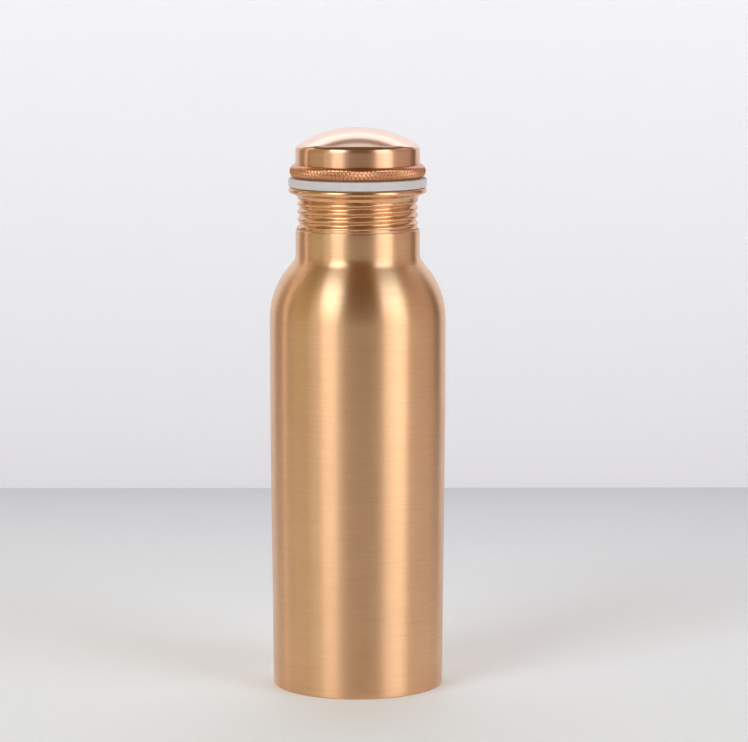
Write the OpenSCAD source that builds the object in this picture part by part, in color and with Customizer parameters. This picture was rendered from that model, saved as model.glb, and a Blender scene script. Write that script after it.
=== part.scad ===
// Copper water bottle with a screw cap: spun sheet-copper body, roll-threaded neck collar,
// silicone gasket, and a domed cap on a threaded plug.
// The bottle stands on z = 0 with its axis on +Z. All lengths are in millimetres.

/* [Body] */
// Outside diameter of the straight upper part of the body
body_d = 73; // [66:0.5:80]
// Outside diameter at the foot
foot_d = 70.8; // [64:0.2:80]
// Height over which the wall widens from the foot to its full diameter
taper_h = 115; // [60:1:140]
// Height at which the shoulder starts
shoulder_z = 153.7; // [145:0.1:165]
// Radius of the shoulder's curve in profile
shoulder_r = 32.8; // [28:0.1:34]
// Thickness of every copper sheet
wall = 0.6; // [0.5:0.05:0.8]

/* [Foot] */
// Height of the hem that is folded up inside the foot
hem_h = 4; // [3:0.5:4]
// Height of the base pan's rim above the table
pan_h = 7; // [6.5:0.5:9]
// Radius of the curve between the base pan's skirt and its panel
pan_knuckle = 2.5; // [2:0.1:2.5]
// Radius of the base pan's upward dome
pan_crown = 260; // [180:10:400]

/* [Neck] */
// Outside diameter of the plain neck
neck_d = 51.4; // [49:0.2:54]
// Height of the plain neck's top edge
neck_top = 190.8; // [188:0.1:191]
// Radius of the hollow curve between shoulder and neck
neck_fillet = 6.6; // [4:0.2:8]
// Length of the collar's skirt that is brazed inside the neck
lap_h = 6.5; // [4:0.5:8]
// Outside diameter of the mouth's lip
lip_d = 57.3; // [56:0.1:59]
// Height of the lip's top face
lip_z = 208.2; // [207.5:0.1:210]
// Diameter of the bead that is rolled into the lip's edge
lip_bead_d = 2.5; // [2:0.1:3]

/* [Thread] */
// Rise of the rolled thread in one turn
pitch = 3.2; // [3:0.1:3.6]
// Depth of the rolled thread
thread_depth = 1; // [0.8:0.05:1.1]
// Radial clearance between the plug's thread and the collar's
thread_gap = 0.3; // [0.25:0.01:0.4]
// Flat facets in one turn of the rolled sheets
thread_facets = 60; // [36:12:72]
// Steps that draw one pitch of the thread
steps_per_pitch = 6; // [6:1:8]

/* [Gasket] */
// Outside diameter of the gasket
gasket_d = 57.2; // [56:0.1:58]
// Thickness of the gasket
gasket_h = 3.7; // [3:0.1:4]
// Rounding of the gasket's edges
gasket_edge = 0.6; // [0.3:0.1:1]

/* [Cap] */
// Outside diameter of the cap's skirt
cap_d = 51.4; // [50:0.2:53]
// Outside diameter of the knurled grip ring
grip_d = 56.3; // [55:0.1:58]
// Height of the grip ring
grip_h = 5.6; // [5:0.1:6]
// Radius of the grip ring's bulging face in profile
grip_bulge = 3.1; // [3:0.1:4]
// Height of the cap's top above the grip ring's lower face
cap_h = 20.8; // [18:0.2:24]
// Radius of the cap's shallow crown
cap_crown = 47; // [44:1:70]
// Radius of the curve between the crown and the skirt
cap_knuckle = 3.5; // [1.8:0.1:4]
// Depth of the plug below the cap's lower face
plug_h = 21.6; // [20:0.2:23]
// Height of the plug floor's upturned rim
plug_rim_h = 2.4; // [2:0.1:3]

/* [Hidden] */
$fn = 128;

// Clearances
braze_gap = 0.05;
touch_gap = 0.05;
gasket_gap = 0.2;
floor_gap = 0.15;

// Small radii, and the width of the plug's flange
hem_edge = 0.6;
neck_edge = 0.5;
lip_flare = 1.6;
floor_corner = 1.2;
plug_bend = 0.6;
plug_flange_w = 3.1;

// Thread: height of its crest on the +X side, the height in which it runs out at each end, and the
// plain stretches above the neck's edge, under the lip's bead and below the plug's thread
crest_z = 196.5;
run_out = 0.8;
collar_plain_h = 0.7;
lip_plain_h = 2;
plug_plain_h = 3;

// Radii of the body and the neck
body_r = body_d / 2;
foot_r = foot_d / 2;
neck_r = neck_d / 2;
neck_bore_r = neck_r - wall;
lip_r = lip_d / 2;
bead_r = lip_bead_d / 2;

// Rolled thread: the collar's groove and crest, and the plug's parallel pair inside them
collar_r = neck_bore_r - braze_gap;
collar_bore_r = collar_r - wall;
plug_crest_r = collar_bore_r - thread_gap;
plug_root_r = plug_crest_r - thread_depth;
plug_bore_r = plug_root_r - wall;
floor_r = plug_bore_r - floor_gap;
collar_thread_bottom = neck_top + collar_plain_h;
thread_top = lip_z - lip_bead_d - lip_plain_h;

// Heights of the gasket and the cap
gasket_z = lip_z + touch_gap;
seat_z = gasket_z + gasket_h + touch_gap;
plug_bottom = seat_z - plug_h;
plug_thread_bottom = plug_bottom + plug_plain_h;
grip_r = grip_d / 2;
cap_r = cap_d / 2;

// Points on a circular arc from angle a to angle b, the end points included
function arc(centre, r, a, b, steps) =
    [for (i = [0:steps]) centre + r * [cos(a + (b - a) * i / steps), sin(a + (b - a) * i / steps)]];

// A list read from its last entry to its first
function backwards(points) = [for (i = [len(points) - 1:-1:0]) points[i]];

// Height of a dished end's top over the centre of its knuckle
function dish_rise(r, crown, knuckle) = crown - sqrt(pow(crown - knuckle, 2) - pow(r - knuckle, 2));

// Outline of a dished end, from its vertical rim at radius r over the knuckle and crown to the axis.
// The knuckle's centre is at height z.
function dish(r, z, crown, knuckle) =
    let (drop = crown - dish_rise(r, crown, knuckle),
         meet = atan2(drop, r - knuckle))
    concat(arc([r - knuckle, z], knuckle, 0, meet, 10),
           arc([0, z - drop], crown, meet, 90, 8));

// A pressed sheet: the outline outside and its parallel inside, closed at the rim's height
module dished_sheet(r, rim_z, z, crown, knuckle) {
    rotate_extrude()
        polygon(concat([[r, rim_z]], dish(r, z, crown, knuckle),
                       backwards(dish(r - wall, z, crown - wall, knuckle - wall)),
                       [[r - wall, rim_z]]));
}

// One turn's wave of the rolled thread, 0 on the crest and 1 in the root, right-handed
function wave(z, turn) = (1 - cos(360 * ((z - crest_z) / pitch - turn))) / 2;

// How much of the thread there is at height z: none at its two ends, all of it between
function fade(z, bottom, top) =
    let (t = max(0, min(1, min(z - bottom, top - z) / run_out))) t * t * (3 - 2 * t);

// Heights that draw the threaded stretch of a sheet
function thread_heights(bottom, top) =
    let (steps = ceil((top - bottom) / pitch * steps_per_pitch))
    [for (i = [0:steps]) bottom + (top - bottom) * i / steps];

// A sheet with a rolled thread, as one closed skin. Each point of its section is
// [radius, height, depth], where depth is how far the thread's root lies inside the radius.
module rolled_sheet(section) {
    n = thread_facets;
    m = len(section);
    skin = [for (i = [0:n - 1]) for (p = section)
        let (r = p[0] - p[2] * wave(p[1], i / n), a = 360 * i / n)
        [r * cos(a), r * sin(a), p[1]]];
    faces = [for (i = [0:n - 1]) for (j = [0:m - 1])
        let (a = i * m + j,
             b = i * m + (j + 1) % m,
             c = ((i + 1) % n) * m + (j + 1) % m,
             d = ((i + 1) % n) * m + j)
        each [[a, b, c], [a, c, d]]];
    polyhedron(skin, faces, convexity = 12);
}

// Radius of the wall's inner face at height z, over its tapered height
function wall_bore(z) = foot_r - wall + (body_r - foot_r) * (z - wall) / (taper_h - wall);

// Drawn copper body: tapered wall, round shoulder and plain neck in one sheet.
// Its lower edge is folded up inside the foot as a hem that holds the base pan's skirt.
module body_shell() {
    shoulder = [body_r - shoulder_r, shoulder_z];
    fillet_x = neck_r + neck_fillet;
    fillet_z = shoulder_z + sqrt(pow(shoulder_r + neck_fillet, 2) - pow(fillet_x - shoulder[0], 2));
    fillet = [fillet_x, fillet_z];
    meet = atan2(fillet_z - shoulder_z, fillet_x - shoulder[0]);
    hem_r = foot_r - 2 * wall - 2 * braze_gap;
    hem_bore_r = hem_r - wall;
    color("#c98a58")
        rotate_extrude()
            polygon(concat(
                arc([foot_r - hem_edge, hem_edge], hem_edge, -90, 0, 4),
                [[body_r, taper_h]],
                arc(shoulder, shoulder_r, 0, meet, 16),
                arc(fillet, neck_fillet, meet + 180, 180, 6),
                arc([neck_r - neck_edge, neck_top - neck_edge], neck_edge, 0, 90, 4),
                [[neck_bore_r, neck_top]],
                arc(fillet, neck_fillet + wall, 180, meet + 180, 6),
                arc(shoulder, shoulder_r - wall, meet, 0, 16),
                [[body_r - wall, taper_h],
                 [foot_r - wall, wall],
                 [hem_r, wall],
                 [hem_r, hem_h],
                 [hem_bore_r, hem_h]],
                arc([hem_bore_r + hem_edge, hem_edge], hem_edge, 180, 270, 4)));
}

// Pressed copper base pan: its skirt sits between the wall and the hem, its panel domes upwards
module base_pan() {
    color("#bd7c4c")
        dished_sheet(foot_r - wall - braze_gap, wall + braze_gap, pan_h - pan_knuckle,
                     pan_crown, pan_knuckle);
}

// Silver-braze fillet that seals the base pan's knuckle to the wall, inside the bottle
module base_braze() {
    knuckle_r = foot_r - wall - braze_gap - pan_knuckle;
    knuckle_z = pan_h - pan_knuckle;
    turn = 53;
    top_z = knuckle_z + pan_knuckle * sin(turn);
    color("#d8b98a")
        rotate_extrude()
            polygon(concat([[wall_bore(knuckle_z), knuckle_z], [wall_bore(top_z), top_z]],
                           arc([knuckle_r, knuckle_z], pan_knuckle, turn, 0, 6)));
}

// Roll-threaded collar: skirt inside the neck, four turns of thread, and a flared lip
// whose edge is rolled into a bead
module neck_collar() {
    heights = thread_heights(collar_thread_bottom, thread_top);
    outside = [for (z = heights) [collar_r, z, groove(z)]];
    inside = [for (z = backwards(heights)) [collar_bore_r, z, groove(z)]];
    lip = concat(arc([collar_r + lip_flare, lip_z - lip_bead_d - lip_flare / 4 - lip_flare],
                     lip_flare, 180, 90, 4),
                 arc([lip_r - bead_r, lip_z - bead_r], bead_r, -120, 90, 10),
                 arc([collar_bore_r + lip_flare, lip_z - lip_flare], lip_flare, 90, 180, 4));
    color("#c4834f")
        rolled_sheet(concat([[collar_bore_r, neck_top - lap_h, 0], [collar_r, neck_top - lap_h, 0]],
                            outside,
                            [for (p = lip) [p[0], p[1], 0]],
                            inside));
}

// Depth of the collar's thread at height z
function groove(z) = thread_depth * fade(z, collar_thread_bottom, thread_top);

// Silver-braze fillet on the neck's top edge, where the collar leaves the neck
module neck_braze() {
    color("#d8b98a")
        rotate_extrude()
            polygon([[collar_r, neck_top],
                     [neck_r - neck_edge, neck_top],
                     [collar_r, neck_top + wall]]);
}

// Soft white ring between the lip and the cap
module gasket() {
    inner_r = plug_root_r + gasket_gap;
    outer_r = gasket_d / 2;
    low = gasket_z + gasket_edge;
    high = gasket_z + gasket_h - gasket_edge;
    color("#dfe6e4")
        rotate_extrude()
            polygon(concat(arc([outer_r - gasket_edge, low], gasket_edge, -90, 0, 5),
                           arc([outer_r - gasket_edge, high], gasket_edge, 0, 90, 5),
                           arc([inner_r + gasket_edge, high], gasket_edge, 90, 180, 5),
                           arc([inner_r + gasket_edge, low], gasket_edge, 180, 270, 5)));
}

// Roll-threaded plug sleeve: hangs from a flat flange that the grip ring holds
module plug_sleeve() {
    heights = thread_heights(plug_thread_bottom, thread_top);
    flange_r = plug_root_r + plug_flange_w;
    outside = [for (z = heights) [plug_root_r + ridge(z), z, ridge(z)]];
    inside = [for (z = backwards(heights)) [plug_bore_r + ridge(z), z, ridge(z)]];
    color("#c4834f")
        rolled_sheet(concat([[plug_bore_r, plug_bottom, 0], [plug_root_r, plug_bottom, 0]],
                            outside,
                            [[plug_root_r, seat_z - plug_bend, 0],
                             [plug_root_r + plug_bend, seat_z, 0],
                             [flange_r, seat_z, 0],
                             [flange_r, seat_z + wall, 0],
                             [plug_bore_r, seat_z + wall, 0]],
                            inside));
}

// Height of the plug's thread over its root at height z
function ridge(z) = thread_depth * fade(z, plug_thread_bottom, thread_top);

// Pressed disc that closes the plug: flat floor with an upturned rim inside the sleeve
module plug_floor() {
    corner = [floor_r - floor_corner, plug_bottom + floor_corner];
    rim_z = plug_bottom + plug_rim_h;
    color("#bd7c4c")
        rotate_extrude()
            polygon(concat([[0, plug_bottom]],
                           arc(corner, floor_corner, -90, 0, 6),
                           [[floor_r, rim_z], [floor_r - wall, rim_z]],
                           arc(corner, floor_corner - wall, 0, -90, 6),
                           [[0, plug_bottom + wall]]));
}

// Silver-braze fillet round the plug floor's lower edge
module plug_braze() {
    corner = [floor_r - floor_corner, plug_bottom + floor_corner];
    color("#d8b98a")
        rotate_extrude()
            polygon(concat([[plug_bore_r - touch_gap, plug_bottom + wall / 3],
                            [plug_bore_r - touch_gap, corner[1]]],
                           arc(corner, floor_corner, 0, -60, 4)));
}

// Spun cap shell: shallow crown, round knuckle and straight skirt down to the plug's flange
module cap_shell() {
    rise = dish_rise(cap_r, cap_crown, cap_knuckle);
    color("#c98a58")
        dished_sheet(cap_r, seat_z + wall + touch_gap, seat_z + cap_h - rise,
                     cap_crown, cap_knuckle);
}

// Grip ring: bulging band over the cap's skirt, with a seat for the plug's flange underneath.
// Its knurl is too fine for this model.
module grip_ring() {
    seat_r = plug_root_r + plug_flange_w + touch_gap;
    ledge_z = seat_z + wall + touch_gap;
    half_turn = asin(grip_h / 2 / grip_bulge);
    color("#b8713f")
        rotate_extrude()
            polygon(concat([[seat_r, seat_z]],
                           arc([grip_r - grip_bulge, seat_z + grip_h / 2], grip_bulge,
                               -half_turn, half_turn, 12),
                           [[cap_r, seat_z + grip_h], [cap_r, ledge_z], [seat_r, ledge_z]]));
}

body_shell();
base_pan();
base_braze();
neck_collar();
neck_braze();
gasket();
plug_sleeve();
plug_floor();
plug_braze();
cap_shell();
grip_ring();
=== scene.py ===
import math

import bmesh
import bpy
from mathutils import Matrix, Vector


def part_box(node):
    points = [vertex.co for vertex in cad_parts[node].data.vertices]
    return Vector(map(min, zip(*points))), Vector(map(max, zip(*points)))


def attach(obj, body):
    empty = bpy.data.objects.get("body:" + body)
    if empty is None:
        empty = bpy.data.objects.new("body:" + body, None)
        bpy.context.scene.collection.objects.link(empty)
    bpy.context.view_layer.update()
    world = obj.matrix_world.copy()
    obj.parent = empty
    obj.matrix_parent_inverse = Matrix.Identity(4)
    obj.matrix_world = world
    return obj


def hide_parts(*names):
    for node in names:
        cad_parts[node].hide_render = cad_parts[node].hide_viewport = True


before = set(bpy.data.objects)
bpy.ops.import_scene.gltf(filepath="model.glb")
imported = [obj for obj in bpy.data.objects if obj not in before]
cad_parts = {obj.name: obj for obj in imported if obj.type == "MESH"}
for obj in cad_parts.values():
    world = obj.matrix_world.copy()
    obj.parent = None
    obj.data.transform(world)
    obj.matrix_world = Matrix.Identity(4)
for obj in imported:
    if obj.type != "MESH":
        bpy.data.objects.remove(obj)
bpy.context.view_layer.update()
mm = 0.001

# ------------------------------------------------------------------ body_shell
# The bottle's body is one sheet of copper, drawn to a tube, spun in at the shoulder and neck, and
# brushed with an abrasive pad while it turns. Its lower edge is folded up inside the foot as a hem.


class Outline:
    """A lathe drawing: a chain of points at radius r and height z, beside the bottle's axis."""

    def __init__(self, r, z):
        self.drawing = bmesh.new()
        self.first = self.drawing.verts.new((r, 0, z))
        self.last = self.first

    def line(self, r, z, steps=1):
        start, end = self.last.co.copy(), Vector((r, 0, z))
        for step in range(steps):
            made = bmesh.ops.extrude_vert_indiv(self.drawing, verts=[self.last])
            self.last = made["verts"][0]
            self.last.co = start.lerp(end, (step + 1) / steps)
        return self

    def arc(self, centre_r, centre_z, degrees, steps):
        """Goes round a centre. Degrees count up from outwards to upwards."""
        made = bmesh.ops.spin(
            self.drawing, geom=[self.last], cent=(centre_r, 0, centre_z), axis=(0, -1, 0),
            dvec=(0, 0, 0), angle=math.radians(degrees), steps=steps, use_merge=False,
            use_normal_flip=False, use_duplicate=False,
        )
        self.last = made["geom_last"][0]
        return self

    def close(self):
        self.drawing.edges.new((self.last, self.first))
        return self

    def turn(self, steps=192):
        """Spins the drawing round the axis into a closed skin with its faces outwards."""
        bmesh.ops.spin(
            self.drawing, geom=self.drawing.verts[:] + self.drawing.edges[:], cent=(0, 0, 0),
            axis=(0, 0, 1), dvec=(0, 0, 0), angle=math.tau, steps=steps, use_merge=True,
            use_normal_flip=False, use_duplicate=False,
        )
        bmesh.ops.remove_doubles(self.drawing, verts=self.drawing.verts, dist=0.0005 * mm)
        bmesh.ops.recalc_face_normals(self.drawing, faces=self.drawing.faces)
        return self.drawing


def finished(name, skin, sharp=32):
    """The piece itself, smooth except along edges that turn by more than sharp degrees."""
    mesh = bpy.data.meshes.new(name)
    skin.to_mesh(mesh)
    skin.free()
    mesh.shade_smooth()
    mesh.set_sharp_from_angle(angle=math.radians(sharp))
    piece = bpy.data.objects.new(name, mesh)
    bpy.context.scene.collection.objects.link(piece)
    return piece


def node(tree, kind, settings=None, **sockets):
    """One shader node. Each socket is set to a value, or is fed by another node's output."""
    made = tree.nodes.new("ShaderNode" + kind)
    for name, value in (settings or {}).items():
        setattr(made, name, value)
    for name, value in sockets.items():
        socket = made.inputs[name.replace("_", " ")]
        if isinstance(value, bpy.types.NodeSocket):
            tree.links.new(value, socket)
        else:
            socket.default_value = value
    return made


def maths(tree, operation, a, b):
    """The output of one Math node on numbers or other nodes' outputs."""
    made = tree.nodes.new("ShaderNodeMath")
    made.operation = operation
    for socket, value in zip(made.inputs, (a, b)):
        if isinstance(value, bpy.types.NodeSocket):
            tree.links.new(value, socket)
        else:
            socket.default_value = value
    return made.outputs[0]


def ramp(tree, value, low, high, to_low, to_high):
    """A number that runs from to_low to to_high as value runs from low to high."""
    made = node(tree, "MapRange", Value=value, From_Min=low, From_Max=high,
                To_Min=to_low, To_Max=to_high)
    return made.outputs["Result"]


def mixed(tree, share, a, b):
    """Two colours mixed by share."""
    made = tree.nodes.new("ShaderNodeMix")
    made.data_type = "RGBA"
    sockets = [s for s in made.inputs if s.enabled]
    for socket, value in zip(sockets, (share, a, b)):
        if isinstance(value, bpy.types.NodeSocket):
            tree.links.new(value, socket)
        else:
            socket.default_value = value
    return [s for s in made.outputs if s.enabled][0]


def brushed_copper(name, light, deep, roughness, grain, groove, anisotropy):
    """Copper brushed round the axis. Light and deep are the tones of the sheet, grain is how far
    the roughness varies between hairlines, and groove is the hairlines' depth in millimetres."""
    finish = bpy.data.materials.new(name)
    finish.use_nodes = True
    tree = finish.node_tree
    metal = tree.nodes["Principled BSDF"]
    place = node(tree, "TexCoord").outputs["Object"]
    parts = node(tree, "SeparateXYZ", Vector=place)
    flat = node(tree, "CombineXYZ", X=parts.outputs["X"], Y=parts.outputs["Y"]).outputs[0]
    radius = node(tree, "VectorMath", {"operation": "LENGTH"}, Vector=flat).outputs["Value"]
    spoke = node(tree, "VectorMath", {"operation": "NORMALIZE"}, Vector=flat).outputs["Vector"]
    across = maths(tree, "SUBTRACT", parts.outputs["Z"], radius)
    turned = node(tree, "SeparateXYZ", Vector=spoke)

    def hairlines(length, width, detail):
        """Noise drawn out round the axis: length is in turns of the bottle, width in millimetres."""
        along = node(
            tree, "CombineXYZ",
            X=maths(tree, "MULTIPLY", turned.outputs["X"], 1 / length),
            Y=maths(tree, "MULTIPLY", turned.outputs["Y"], 1 / length),
            Z=maths(tree, "MULTIPLY", across, 1 / (width * mm)),
        ).outputs[0]
        return node(tree, "TexNoise", Vector=along, Scale=1.0, Detail=detail,
                    Roughness=0.6).outputs["Fac"]

    fine = hairlines(0.25, 0.16, 2.0)
    coarse = hairlines(0.6, 0.9, 3.0)
    lines = maths(tree, "ADD", maths(tree, "MULTIPLY", fine, 0.6),
                  maths(tree, "MULTIPLY", coarse, 0.4))
    cloud = node(tree, "TexNoise", Vector=place, Scale=28.0, Detail=3.0,
                 Roughness=0.55).outputs["Fac"]
    tone = maths(tree, "ADD", ramp(tree, lines, 0.35, 0.65, 0.0, 0.7),
                 ramp(tree, cloud, 0.35, 0.65, 0.0, 0.3))
    tree.links.new(mixed(tree, tone, deep, light), metal.inputs["Base Color"])
    tree.links.new(ramp(tree, lines, 0.3, 0.7, roughness + grain, roughness - grain),
                   metal.inputs["Roughness"])
    bump = node(tree, "Bump", Height=lines, Strength=1.0, Distance=groove * mm)
    tree.links.new(bump.outputs["Normal"], metal.inputs["Normal"])
    tree.links.new(node(tree, "Tangent", {"direction_type": "RADIAL", "axis": "Z"}).outputs[0],
                   metal.inputs["Tangent"])
    metal.inputs["Metallic"].default_value = 1.0
    metal.inputs["Anisotropic"].default_value = anisotropy
    metal.inputs["Anisotropic Rotation"].default_value = 0.25
    return finish


sheet = 0.6 * mm
braze_gap = 0.05 * mm
body_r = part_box("body_shell")[1].x
neck_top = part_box("body_shell")[1].z
foot_r = 35.4 * mm
taper_h = 115 * mm
shoulder_z = 153.7 * mm
shoulder_r = 32.8 * mm
neck_r = 25.7 * mm
neck_fillet = 6.6 * mm
neck_edge = 0.5 * mm
hem_edge = 0.6 * mm
hem_h = 4 * mm
hem_r = foot_r - 2 * sheet - 2 * braze_gap

shoulder_x = body_r - shoulder_r
fillet_x = neck_r + neck_fillet
fillet_z = shoulder_z + math.sqrt((shoulder_r + neck_fillet) ** 2 - (fillet_x - shoulder_x) ** 2)
turned_in = math.degrees(math.atan2(fillet_z - shoulder_z, fillet_x - shoulder_x))

wall = Outline(foot_r - hem_edge, 0)
wall.arc(foot_r - hem_edge, hem_edge, 90, 6)
wall.line(body_r, taper_h, 40)
wall.line(body_r, shoulder_z, 12)
wall.arc(shoulder_x, shoulder_z, turned_in, 32)
wall.arc(fillet_x, fillet_z, -turned_in, 14)
wall.line(neck_r, neck_top - neck_edge, 3)
wall.arc(neck_r - neck_edge, neck_top - neck_edge, 90, 6)
wall.line(neck_r - sheet, neck_top)
wall.line(neck_r - sheet, fillet_z)
wall.arc(fillet_x, fillet_z, turned_in, 14)
wall.arc(shoulder_x, shoulder_z, -turned_in, 32)
wall.line(body_r - sheet, taper_h, 12)
wall.line(foot_r - sheet, sheet, 40)
wall.line(hem_r, sheet)
wall.line(hem_r, hem_h - sheet / 2)
wall.arc(hem_r - sheet / 2, hem_h - sheet / 2, 180, 6)
wall.line(hem_r - sheet, hem_edge)
wall.arc(hem_r - sheet + hem_edge, hem_edge, 90, 6)
wall.close()
body = finished("body_shell_brushed", wall.turn(256))
body.data.materials.append(brushed_copper(
    "brushed_body_copper", light=(0.88, 0.555, 0.33, 1), deep=(0.78, 0.465, 0.26, 1),
    roughness=0.38, grain=0.04, groove=0.004, anisotropy=0.88))
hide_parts("body_shell")
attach(body, "bottle")

# ------------------------------------------------------------------ base_pan
# The bottom is a pressed copper disc with a turned-down rim. The panel domes upwards, so that only
# the hemmed foot touches the table, and the rim is caught between the wall and the hem.

pan_r = foot_r - sheet - braze_gap
pan_low = sheet + braze_gap
pan_knuckle = 2.5 * mm
pan_crown = 260 * mm
knuckle_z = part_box("base_pan")[1].z - pan_crown + math.sqrt(
    (pan_crown - pan_knuckle) ** 2 - (pan_r - pan_knuckle) ** 2)


def dish(outline, r, z, crown, knuckle, thick):
    """Draws a dished end from its rim over the knuckle and crown to the axis, and back inside."""
    drop = math.sqrt((crown - knuckle) ** 2 - (r - knuckle) ** 2)
    bend = math.degrees(math.atan2(drop, r - knuckle))
    rim_z = outline.last.co.z
    outline.line(r, z, 2)
    outline.arc(r - knuckle, z, bend, 24)
    outline.arc(0, z - drop, 90 - bend, 40)
    outline.line(0, z - drop + crown - thick)
    outline.arc(0, z - drop, bend - 90, 40)
    outline.arc(r - knuckle, z, -bend, 24)
    outline.line(r - thick, rim_z, 2)
    return outline.close()


pan = finished("base_pan_pressed", dish(
    Outline(pan_r, pan_low), pan_r, knuckle_z, pan_crown, pan_knuckle, sheet).turn())
pan.data.materials.append(brushed_copper(
    "pressed_base_copper", light=(0.84, 0.52, 0.34, 1), deep=(0.68, 0.38, 0.24, 1),
    roughness=0.38, grain=0.06, groove=0.002, anisotropy=0.4))
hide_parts("base_pan")
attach(pan, "bottle")

# ------------------------------------------------------------------ neck_collar
# The thread and the lip are one copper sleeve, brazed inside the neck. The thread is rolled into it
# between two wheels, so that the same wave shows inside and outside. The lip is flared and curled.

collar_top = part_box("neck_collar")[1].z
collar_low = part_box("neck_collar")[0].z
lip_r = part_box("neck_collar")[1].x
collar_r = neck_r - sheet - braze_gap
bead_r = 1.25 * mm
flare_r = 1.6 * mm
pitch = 3.2 * mm
thread_depth = 1.0 * mm
crest_z = 196.5 * mm
run_out = 0.8 * mm
thread_low = neck_top + 0.7 * mm
thread_top = 203.7 * mm


def roll_thread(skin, low, high, depth, outwards):
    """Presses a right-hand thread into a turned sleeve, inwards from its crest or outwards from
    its root. The wave runs out at both ends."""
    for point in skin.verts:
        t = max(0.0, min(1.0, min(point.co.z - low, high - point.co.z) / run_out))
        strength = depth * t * t * (3 - 2 * t)
        if strength > 0:
            turn = math.atan2(point.co.y, point.co.x) / math.tau
            wave = (1 - math.cos(math.tau * ((point.co.z - crest_z) / pitch - turn))) / 2
            r = math.hypot(point.co.x, point.co.y)
            reach = 1 + strength * (outwards - wave) / r
            point.co.x *= reach
            point.co.y *= reach


collar = Outline(collar_r - sheet, collar_low)
collar.line(collar_r, collar_low)
collar.line(collar_r, thread_low)
collar.line(collar_r, thread_top, 84)
collar.line(collar_r, collar_top - 2 * bead_r - 1.25 * flare_r)
collar.arc(collar_r + flare_r, collar_top - 2 * bead_r - 1.25 * flare_r, -90, 8)
collar.line(lip_r - bead_r, collar_top - 2 * bead_r)
collar.arc(lip_r - bead_r, collar_top - bead_r, 180, 24)
collar.line(collar_r - sheet + flare_r, collar_top)
collar.arc(collar_r - sheet + flare_r, collar_top - flare_r, 90, 10)
collar.line(collar_r - sheet, thread_top)
collar.line(collar_r - sheet, thread_low, 84)
collar.close()
sleeve = collar.turn(240)
roll_thread(sleeve, thread_low, thread_top, thread_depth, 0)
bmesh.ops.recalc_face_normals(sleeve, faces=sleeve.faces)
neck = finished("neck_collar_rolled", sleeve)
neck.data.materials.append(brushed_copper(
    "rolled_collar_copper", light=(0.84, 0.51, 0.29, 1), deep=(0.71, 0.39, 0.21, 1),
    roughness=0.27, grain=0.04, groove=0.002, anisotropy=0.5))
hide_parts("neck_collar")
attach(neck, "bottle")

# ------------------------------------------------------------------ base_braze, neck_braze
# The two fillets of silver braze that seal the body. One runs round the base pan's knuckle inside
# the bottle, and one fills the step where the collar leaves the neck.


def braze_metal(name):
    """Coppery braze alloy that froze with a slight ripple, a little dull from the flame."""
    finish = bpy.data.materials.new(name)
    finish.use_nodes = True
    tree = finish.node_tree
    metal = tree.nodes["Principled BSDF"]
    place = node(tree, "TexCoord").outputs["Object"]
    ripple = node(tree, "TexNoise", Vector=place, Scale=900.0, Detail=3.0).outputs["Fac"]
    tree.links.new(mixed(tree, ripple, (0.50, 0.28, 0.17, 1), (0.70, 0.44, 0.30, 1)),
                   metal.inputs["Base Color"])
    tree.links.new(ramp(tree, ripple, 0.3, 0.7, 0.35, 0.55), metal.inputs["Roughness"])
    bump = node(tree, "Bump", Height=ripple, Strength=1.0, Distance=0.02 * mm)
    tree.links.new(bump.outputs["Normal"], metal.inputs["Normal"])
    metal.inputs["Metallic"].default_value = 1.0
    return finish


braze_turn = 53  # how far the fillet reaches round the knuckle, in degrees
knuckle_r = pan_r - pan_knuckle


def wall_bore(z):
    """Radius of the wall's inner face at height z on its taper."""
    return foot_r - sheet + (body_r - foot_r) * (z - sheet) / (taper_h - sheet)


fillet_top = knuckle_z + pan_knuckle * math.sin(math.radians(braze_turn))
joint = Outline(knuckle_r + pan_knuckle, knuckle_z)
joint.arc(knuckle_r, knuckle_z, braze_turn, 12)
joint.line(wall_bore(fillet_top), fillet_top)
joint.line(wall_bore(knuckle_z), knuckle_z)
joint.close()
low_braze = finished("base_braze_fillet", joint.turn())
low_braze.data.materials.append(braze_metal("base_braze_silver"))
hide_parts("base_braze")
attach(low_braze, "bottle")

joint = Outline(collar_r, neck_top)
joint.line(neck_r - neck_edge, neck_top)
joint.line(collar_r + 0.1 * mm, neck_top + 0.2 * mm)
joint.line(collar_r, neck_top + sheet)
joint.close()
high_braze = finished("neck_braze_fillet", joint.turn())
high_braze.data.materials.append(braze_metal("neck_braze_silver"))
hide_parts("neck_braze")
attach(high_braze, "bottle")

# ------------------------------------------------------------------ gasket
# A moulded ring of white silicone rubber, slipped over the plug, which the cap squeezes on the lip.
# It has a rounded edge, a faint parting line at mid height and a little dust in its skin.

gasket_low, gasket_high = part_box("gasket")
gasket_r = gasket_high.x
gasket_bore = 23.35 * mm
gasket_edge = 0.6 * mm
flash = 0.06 * mm

ring = Outline(gasket_bore + gasket_edge, gasket_low.z)
ring.line(gasket_r - gasket_edge, gasket_low.z)
ring.arc(gasket_r - gasket_edge, gasket_low.z + gasket_edge, 90, 8)
middle = (gasket_low.z + gasket_high.z) / 2
ring.line(gasket_r - flash, middle - flash)
ring.line(gasket_r, middle)
ring.line(gasket_r - flash, middle + flash)
ring.line(gasket_r, gasket_high.z - gasket_edge)
ring.arc(gasket_r - gasket_edge, gasket_high.z - gasket_edge, 90, 8)
ring.line(gasket_bore + gasket_edge, gasket_high.z)
ring.arc(gasket_bore + gasket_edge, gasket_high.z - gasket_edge, 90, 8)
ring.line(gasket_bore, gasket_low.z + gasket_edge)
ring.arc(gasket_bore + gasket_edge, gasket_low.z + gasket_edge, 90, 8)
ring.close()
seal = finished("gasket_silicone", ring.turn())


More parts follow.
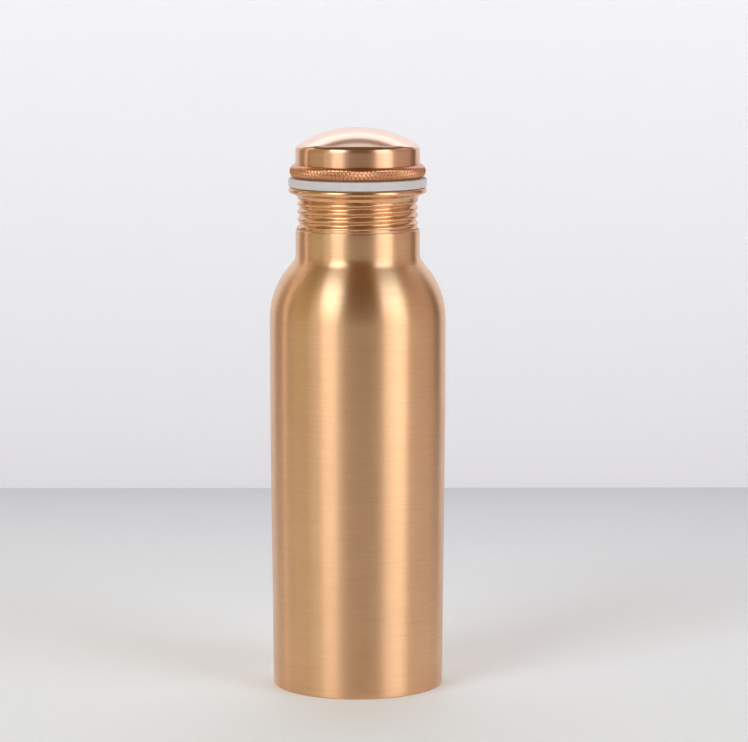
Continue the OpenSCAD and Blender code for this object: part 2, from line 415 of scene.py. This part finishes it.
def silicone(name):
    """White silicone: soft, faintly translucent, with a matt moulded skin."""
    finish = bpy.data.materials.new(name)
    finish.use_nodes = True
    tree = finish.node_tree
    rubber = tree.nodes["Principled BSDF"]
    place = node(tree, "TexCoord").outputs["Object"]
    cloud = node(tree, "TexNoise", Vector=place, Scale=120.0, Detail=4.0).outputs["Fac"]
    skin = node(tree, "TexNoise", Vector=place, Scale=2600.0, Detail=2.0).outputs["Fac"]
    tree.links.new(mixed(tree, cloud, (0.66, 0.64, 0.65, 1), (0.75, 0.72, 0.74, 1)),
                   rubber.inputs["Base Color"])
    tree.links.new(ramp(tree, skin, 0.3, 0.7, 0.42, 0.55), rubber.inputs["Roughness"])
    bump = node(tree, "Bump", Height=skin, Strength=0.5, Distance=0.02 * mm)
    tree.links.new(bump.outputs["Normal"], rubber.inputs["Normal"])
    rubber.inputs["IOR"].default_value = 1.41
    rubber.inputs["Subsurface Weight"].default_value = 0.15
    rubber.inputs["Subsurface Radius"].default_value = (1.0, 0.9, 0.85)
    rubber.inputs["Subsurface Scale"].default_value = 1.0 * mm
    return finish


seal.data.materials.append(silicone("white_silicone"))
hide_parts("gasket")
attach(seal, "gasket_ring")

# ------------------------------------------------------------------ plug_sleeve
# The cap screws into the bottle on a copper sleeve with the same rolled thread as the collar. Its
# flat flange is caught under the grip ring, and it is turned and rolled from the same sheet.

plug_low, plug_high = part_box("plug_sleeve")
seat_z = plug_high.z - sheet
plug_root = 23.15 * mm
flange_r = plug_root + 3.1 * mm
plug_bend = 0.6 * mm
plug_thread_low = plug_low.z + 3 * mm

shank = Outline(plug_root - sheet, plug_low.z)
shank.line(plug_root, plug_low.z)
shank.line(plug_root, plug_thread_low)
shank.line(plug_root, thread_top, 64)
shank.line(plug_root, seat_z - plug_bend)
shank.arc(plug_root + plug_bend, seat_z - plug_bend, -90, 6)
shank.line(flange_r, seat_z)
shank.line(flange_r, plug_high.z)
shank.line(plug_root - sheet, plug_high.z)
shank.line(plug_root - sheet, thread_top)
shank.line(plug_root - sheet, plug_thread_low, 64)
shank.close()
screw = shank.turn(240)
roll_thread(screw, plug_thread_low, thread_top, thread_depth, 1)
bmesh.ops.recalc_face_normals(screw, faces=screw.faces)
plug = finished("plug_sleeve_rolled", screw)
plug.data.materials.append(brushed_copper(
    "rolled_plug_copper", light=(0.88, 0.54, 0.35, 1), deep=(0.74, 0.42, 0.26, 1),
    roughness=0.30, grain=0.05, groove=0.002, anisotropy=0.5))
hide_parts("plug_sleeve")
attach(plug, "cap")

# ------------------------------------------------------------------ plug_floor, plug_braze
# A pressed copper cup closes the plug's lower end, so that the cap holds no water. Its upturned rim
# stands inside the sleeve, and a fillet of silver braze seals the corner.

floor_r = plug_root - sheet - 0.15 * mm
floor_corner = 1.2 * mm
rim_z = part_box("plug_floor")[1].z
corner_r = floor_r - floor_corner
corner_z = plug_low.z + floor_corner

cup = Outline(0, plug_low.z)
cup.line(corner_r, plug_low.z, 6)
cup.arc(corner_r, corner_z, 90, 8)
cup.line(floor_r, rim_z)
cup.line(floor_r - sheet, rim_z)
cup.line(floor_r - sheet, corner_z)
cup.arc(corner_r, corner_z, -90, 8)
cup.line(0, plug_low.z + sheet, 6)
cup.close()
closing = finished("plug_floor_pressed", cup.turn())
closing.data.materials.append(brushed_copper(
    "pressed_plug_copper", light=(0.86, 0.52, 0.34, 1), deep=(0.72, 0.40, 0.25, 1),
    roughness=0.34, grain=0.06, groove=0.002, anisotropy=0.4))
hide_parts("plug_floor")
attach(closing, "cap")

seam_r = plug_root - sheet - braze_gap
joint = Outline(seam_r, corner_z)
joint.line(floor_r, corner_z)
joint.arc(corner_r, corner_z, -60, 8)
joint.line(seam_r, plug_low.z + sheet / 3)
joint.close()
plug_braze = finished("plug_braze_fillet", joint.turn())
plug_braze.data.materials.append(braze_metal("plug_braze_silver"))
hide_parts("plug_braze")
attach(plug_braze, "cap")

# ------------------------------------------------------------------ cap_shell
# The cap's shell is a spun copper dish with a shallow crown and a straight skirt. The crown and the
# knuckle are buffed smooth, and their paler colour is a painted highlight. The skirt is brushed
# round the axis like the body.

cap_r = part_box("cap_shell")[1].x
cap_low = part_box("cap_shell")[0].z
cap_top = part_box("cap_shell")[1].z
crown_r = 47 * mm
cap_knuckle = 3.5 * mm
skirt_top = cap_top - crown_r + math.sqrt((crown_r - cap_knuckle) ** 2 - (cap_r - cap_knuckle) ** 2)
dome = finished("cap_shell_spun", dish(
    Outline(cap_r, cap_low), cap_r, skirt_top, crown_r, cap_knuckle, sheet).turn(256))
dome.data.materials.append(brushed_copper(
    "brushed_skirt_copper", light=(0.84, 0.51, 0.33, 1), deep=(0.71, 0.405, 0.25, 1),
    roughness=0.34, grain=0.05, groove=0.003, anisotropy=0.85))
# The crown's pale pinkish copper is a painted highlight; its buffing is only the lower roughness.
dome.data.materials.append(brushed_copper(
    "buffed_crown_copper_painted_highlight", light=(0.95, 0.72, 0.60, 1), deep=(0.90, 0.63, 0.50, 1),
    roughness=0.20, grain=0.02, groove=0.0006, anisotropy=0.0))
# Faces above this height get the buffed finish with the painted highlight in its colour.
buffed_and_highlight_from = skirt_top + 1.4 * mm
for face in dome.data.polygons:
    face.material_index = int(face.center.z > buffed_and_highlight_from)
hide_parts("cap_shell")
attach(dome, "cap")

# ------------------------------------------------------------------ grip_ring
# A bulging copper band is pressed over the skirt's lower edge. Its lower two thirds are knurled by
# a pair of wheels, whose slanting grooves cross in rows of diamonds and notch the lower edge.

ring_low, ring_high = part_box("grip_ring")
grip_r = ring_high.x
grip_bulge = 3.1 * mm
seat_r = flange_r + braze_gap
ledge_z = plug_high.z + braze_gap
half_h = (ring_high.z - ring_low.z) / 2
half_turn = math.degrees(math.asin(half_h / grip_bulge))
bulge_r = grip_r - grip_bulge
diamonds = 102
diamond_h = 2.5 * mm
knurl_row = ring_low.z + 0.9 * mm
knurl_depth = 0.34 * mm
knurl_top = ring_low.z + 4.7 * mm
knurl_fade = 0.9 * mm

band = Outline(seat_r, ring_low.z)
band.line(bulge_r + grip_bulge * math.cos(math.radians(half_turn)), ring_low.z)
band.arc(bulge_r, ring_low.z + half_h, 2 * half_turn, 60)
band.line(cap_r, ring_high.z)
band.line(cap_r, ledge_z)
band.line(seat_r, ledge_z)
band.close()
knurled = band.turn(diamonds * 8)
for point in knurled.verts:
    r = math.hypot(point.co.x, point.co.y)
    if r > seat_r + 0.01 * mm and point.co.z < knurl_top:
        across = math.atan2(point.co.y, point.co.x) / math.tau * diamonds
        up = (point.co.z - knurl_row) / diamond_h
        slants = [abs((across + side * up) % 1 - 0.5) * 2 for side in (1, -1)]
        cut = max(slants) ** 2 * min(1.0, (knurl_top - point.co.z) / knurl_fade)
        point.co.x *= 1 - knurl_depth * cut / r
        point.co.y *= 1 - knurl_depth * cut / r
bmesh.ops.recalc_face_normals(knurled, faces=knurled.faces)
grip = finished("grip_ring_knurled", knurled)
grip.data.materials.append(brushed_copper(
    "knurled_copper", light=(0.76, 0.38, 0.21, 1), deep=(0.60, 0.27, 0.14, 1),
    roughness=0.30, grain=0.05, groove=0.001, anisotropy=0.3))
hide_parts("grip_ring")
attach(grip, "cap")

# ------------------------------------------------------------------ camera, light and stage
# A pale table and a pale wall lit from behind it, windows and softboxes in front and at the sides,
# and a dim warm room. The long lens looks down on the bottle by a few degrees.

camera = bpy.data.objects.new("camera", bpy.data.cameras.new("camera"))
bpy.context.scene.collection.objects.link(camera)
bpy.context.scene.camera = camera
camera.data.sensor_width = 36
camera.data.lens = 157.34
camera.location = (0, -1.348, 0.3097)
camera.rotation_euler = (math.radians(90 - 7.533), 0, -0.005)
bpy.context.scene.view_settings.view_transform = "Standard"


def pale_surface(name, span, near, far, glow=(0.0, 0.0)):
    """A matt pale sheet that is seen from its front only, so that it never hides the bottle. Its
    colour and its own glow change along its length between the two places in span; the change of
    colour is painted light and shade, and the glow is painted light, as the sheet is no lamp."""
    finish = bpy.data.materials.new(name)
    finish.use_nodes = True
    tree = finish.node_tree
    matt = tree.nodes["Principled BSDF"]
    matt.inputs["Roughness"].default_value = 0.6
    # The bluish tint of the painted glow; its strength along the sheet below is painted light too.
    matt.inputs["Emission Color"].default_value = (0.83, 0.88, 1.0, 1)
    up = node(tree, "SeparateXYZ", Vector=node(tree, "TexCoord").outputs["Object"]).outputs["Y"]
    tree.links.new(mixed(tree, ramp(tree, up, *span, 0, 1), near, far), matt.inputs["Base Color"])
    tree.links.new(ramp(tree, up, *span, *glow), matt.inputs["Emission Strength"])
    back = node(tree, "NewGeometry").outputs["Backfacing"]
    clear = node(tree, "BsdfTransparent").outputs[0]
    both = tree.nodes.new("ShaderNodeMixShader")
    tree.links.new(back, both.inputs[0])
    tree.links.new(matt.outputs[0], both.inputs[1])
    tree.links.new(clear, both.inputs[2])
    tree.links.new(both.outputs[0], tree.nodes["Material Output"].inputs["Surface"])
    return finish


def stage_plane(name, width, height, place, tilt, finish):
    """A flat sheet of the stage, made flat on the ground about its own middle and then tilted."""
    skin = bmesh.new()
    bmesh.ops.create_grid(skin, x_segments=1, y_segments=1, size=0.5)
    bmesh.ops.scale(skin, verts=skin.verts, vec=(width, height, 1))
    mesh = bpy.data.meshes.new(name)
    skin.to_mesh(mesh)
    skin.free()
    plane = bpy.data.objects.new(name, mesh)
    bpy.context.scene.collection.objects.link(plane)
    plane.location = place
    plane.rotation_euler = tilt
    plane.data.materials.append(finish)


table_back = 0.487
table_deep = 2.6
wall_tall = 0.8
# The table's colour runs from near-white at the front to grey at the back, and it glows faintly at
# the front: painted light where the lamps fall on its front, and painted shade towards the wall.
stage_plane("table", 4.0, table_deep, (0, table_back - table_deep / 2, 0), (0, 0, 0),
            pale_surface("table_paint_and_painted_light", (0.9, 1.3), (0.97, 0.99, 1.0, 1), (0.78, 0.79, 0.84, 1),
                         glow=(0.06, 0.0)))
# The wall's glow, stronger towards its top, is painted light standing in for the light behind it.
stage_plane("wall", 1.0, wall_tall, (0, table_back, wall_tall / 2), (math.radians(90), 0, 0),
            pale_surface("wall_sheet", (-0.4, 0.0), (0.84, 0.83, 0.86, 1), (0.84, 0.83, 0.86, 1),
                         glow=(0.16, 0.38)))


bottle_middle = Vector((0, 0, 0.11))


def softbox(name, azimuth, distance, height, width, tall, power, colour=(1, 1, 1)):
    """A lamp at an azimuth round the bottle, from the camera's side towards +X, facing the axis."""
    lamp = bpy.data.objects.new(name, bpy.data.lights.new(name, "AREA"))
    lamp.data.shape = "RECTANGLE"
    lamp.data.size = width
    lamp.data.size_y = tall
    lamp.data.energy = power
    lamp.data.color = colour
    turn = math.radians(azimuth)
    lamp.location = (distance * math.sin(turn), -distance * math.cos(turn), height)
    aim = bottle_middle - lamp.location
    lamp.rotation_euler = aim.to_track_quat("-Z", "Y").to_euler()
    lamp.visible_camera = False
    bpy.context.scene.collection.objects.link(lamp)


softbox("left_box", -37.5, 1.1, 0.35, 0.42, 0.7, 1.38, (1.0, 0.84, 0.72))
softbox("left_window", -40, 1.1, 0.95, 0.62, 0.5, 6.0, (0.73, 0.9, 1.0))
softbox("left_bounce", -60, 1.1, 0.5, 0.26, 1.0, 0.54, (1.0, 1.0, 0.74))
softbox("left_wall", -84, 1.1, 0.5, 0.55, 1.0, 0.64, (1.0, 0.98, 0.56))
softbox("left_strip", -110, 1.1, 0.5, 0.08, 1.0, 0.7, (1.0, 0.88, 0.82))
softbox("left_back", -126, 1.1, 0.5, 0.36, 1.0, 0.3, (1.0, 0.86, 0.75))
softbox("right_edge", 39, 1.1, 0.5, 0.20, 1.0, 1.1, (1.0, 0.89, 0.82))
softbox("right_box", 56, 1.1, 0.35, 0.44, 0.7, 2.25, (1.0, 0.96, 0.9))
softbox("right_window", 54, 1.1, 0.95, 0.62, 0.5, 3.2, (0.53, 0.81, 1.0))
softbox("right_bounce", 95, 1.1, 0.5, 1.0, 1.0, 1.3, (1.0, 0.86, 0.86))
softbox("back_panel", 180, 0.48, 0.57, 0.9, 0.3, 0.5, (1.0, 0.97, 0.97))
softbox("ceiling", 180, 0.5, 1.3, 1.4, 0.22, 0.95, (0.9, 0.95, 1.0))

world = bpy.data.worlds.new("room")
bpy.context.scene.world = world
world.use_nodes = True
world.node_tree.nodes["Background"].inputs["Color"].default_value = (1.0, 0.53, 0.15, 1)
world.node_tree.nodes["Background"].inputs["Strength"].default_value = 0.15
